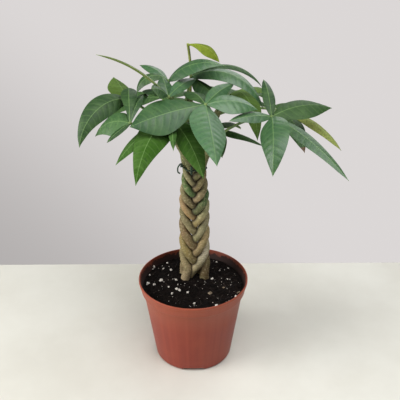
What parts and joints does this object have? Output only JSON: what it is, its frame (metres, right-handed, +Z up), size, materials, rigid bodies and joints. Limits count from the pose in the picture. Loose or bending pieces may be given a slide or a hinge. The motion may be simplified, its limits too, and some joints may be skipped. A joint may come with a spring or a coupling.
{
  "type": "potted money tree",
  "caption": "Small braided money tree in a round nursery pot: plaited stems from the soil to a wire tie, with a crown of drooping hand-shaped leaves.",
  "frame": {"origin": "where the pot's axis meets the surface it stands on, in the middle of the pad under the pot's floor", "axes": "+Z up along the pot's axis, -Y towards the front, +X to the right seen from the front"},
  "size_m": [0.2509, 0.2697, 0.3588],
  "materials": {
    "pot_plastic": "satin",
    "potting_mix": "matte",
    "bark": "matte",
    "tie_wire": "satin",
    "leaf": "satin",
    "young_leaf": "satin"
  },
  "bodies": {
    "root": {"pot": "pot_plastic", "potting_mix": "potting_mix", "stem_1": "bark", "stem_2": "bark", "stem_3": "bark", "stem_4": "bark", "stem_5": "bark", "twist_tie": "tie_wire", "leaf_01": "leaf", "leaf_02": "leaf", "leaf_03": "leaf", "leaf_04": "leaf", "leaf_05": "leaf", "leaf_06": "leaf", "leaf_07": "leaf", "leaf_08": "leaf", "leaf_09": "leaf", "leaf_10": "leaf", "leaf_11": "leaf", "leaf_12": "leaf", "leaf_13": "young_leaf"}
  },
  "joints": []
}
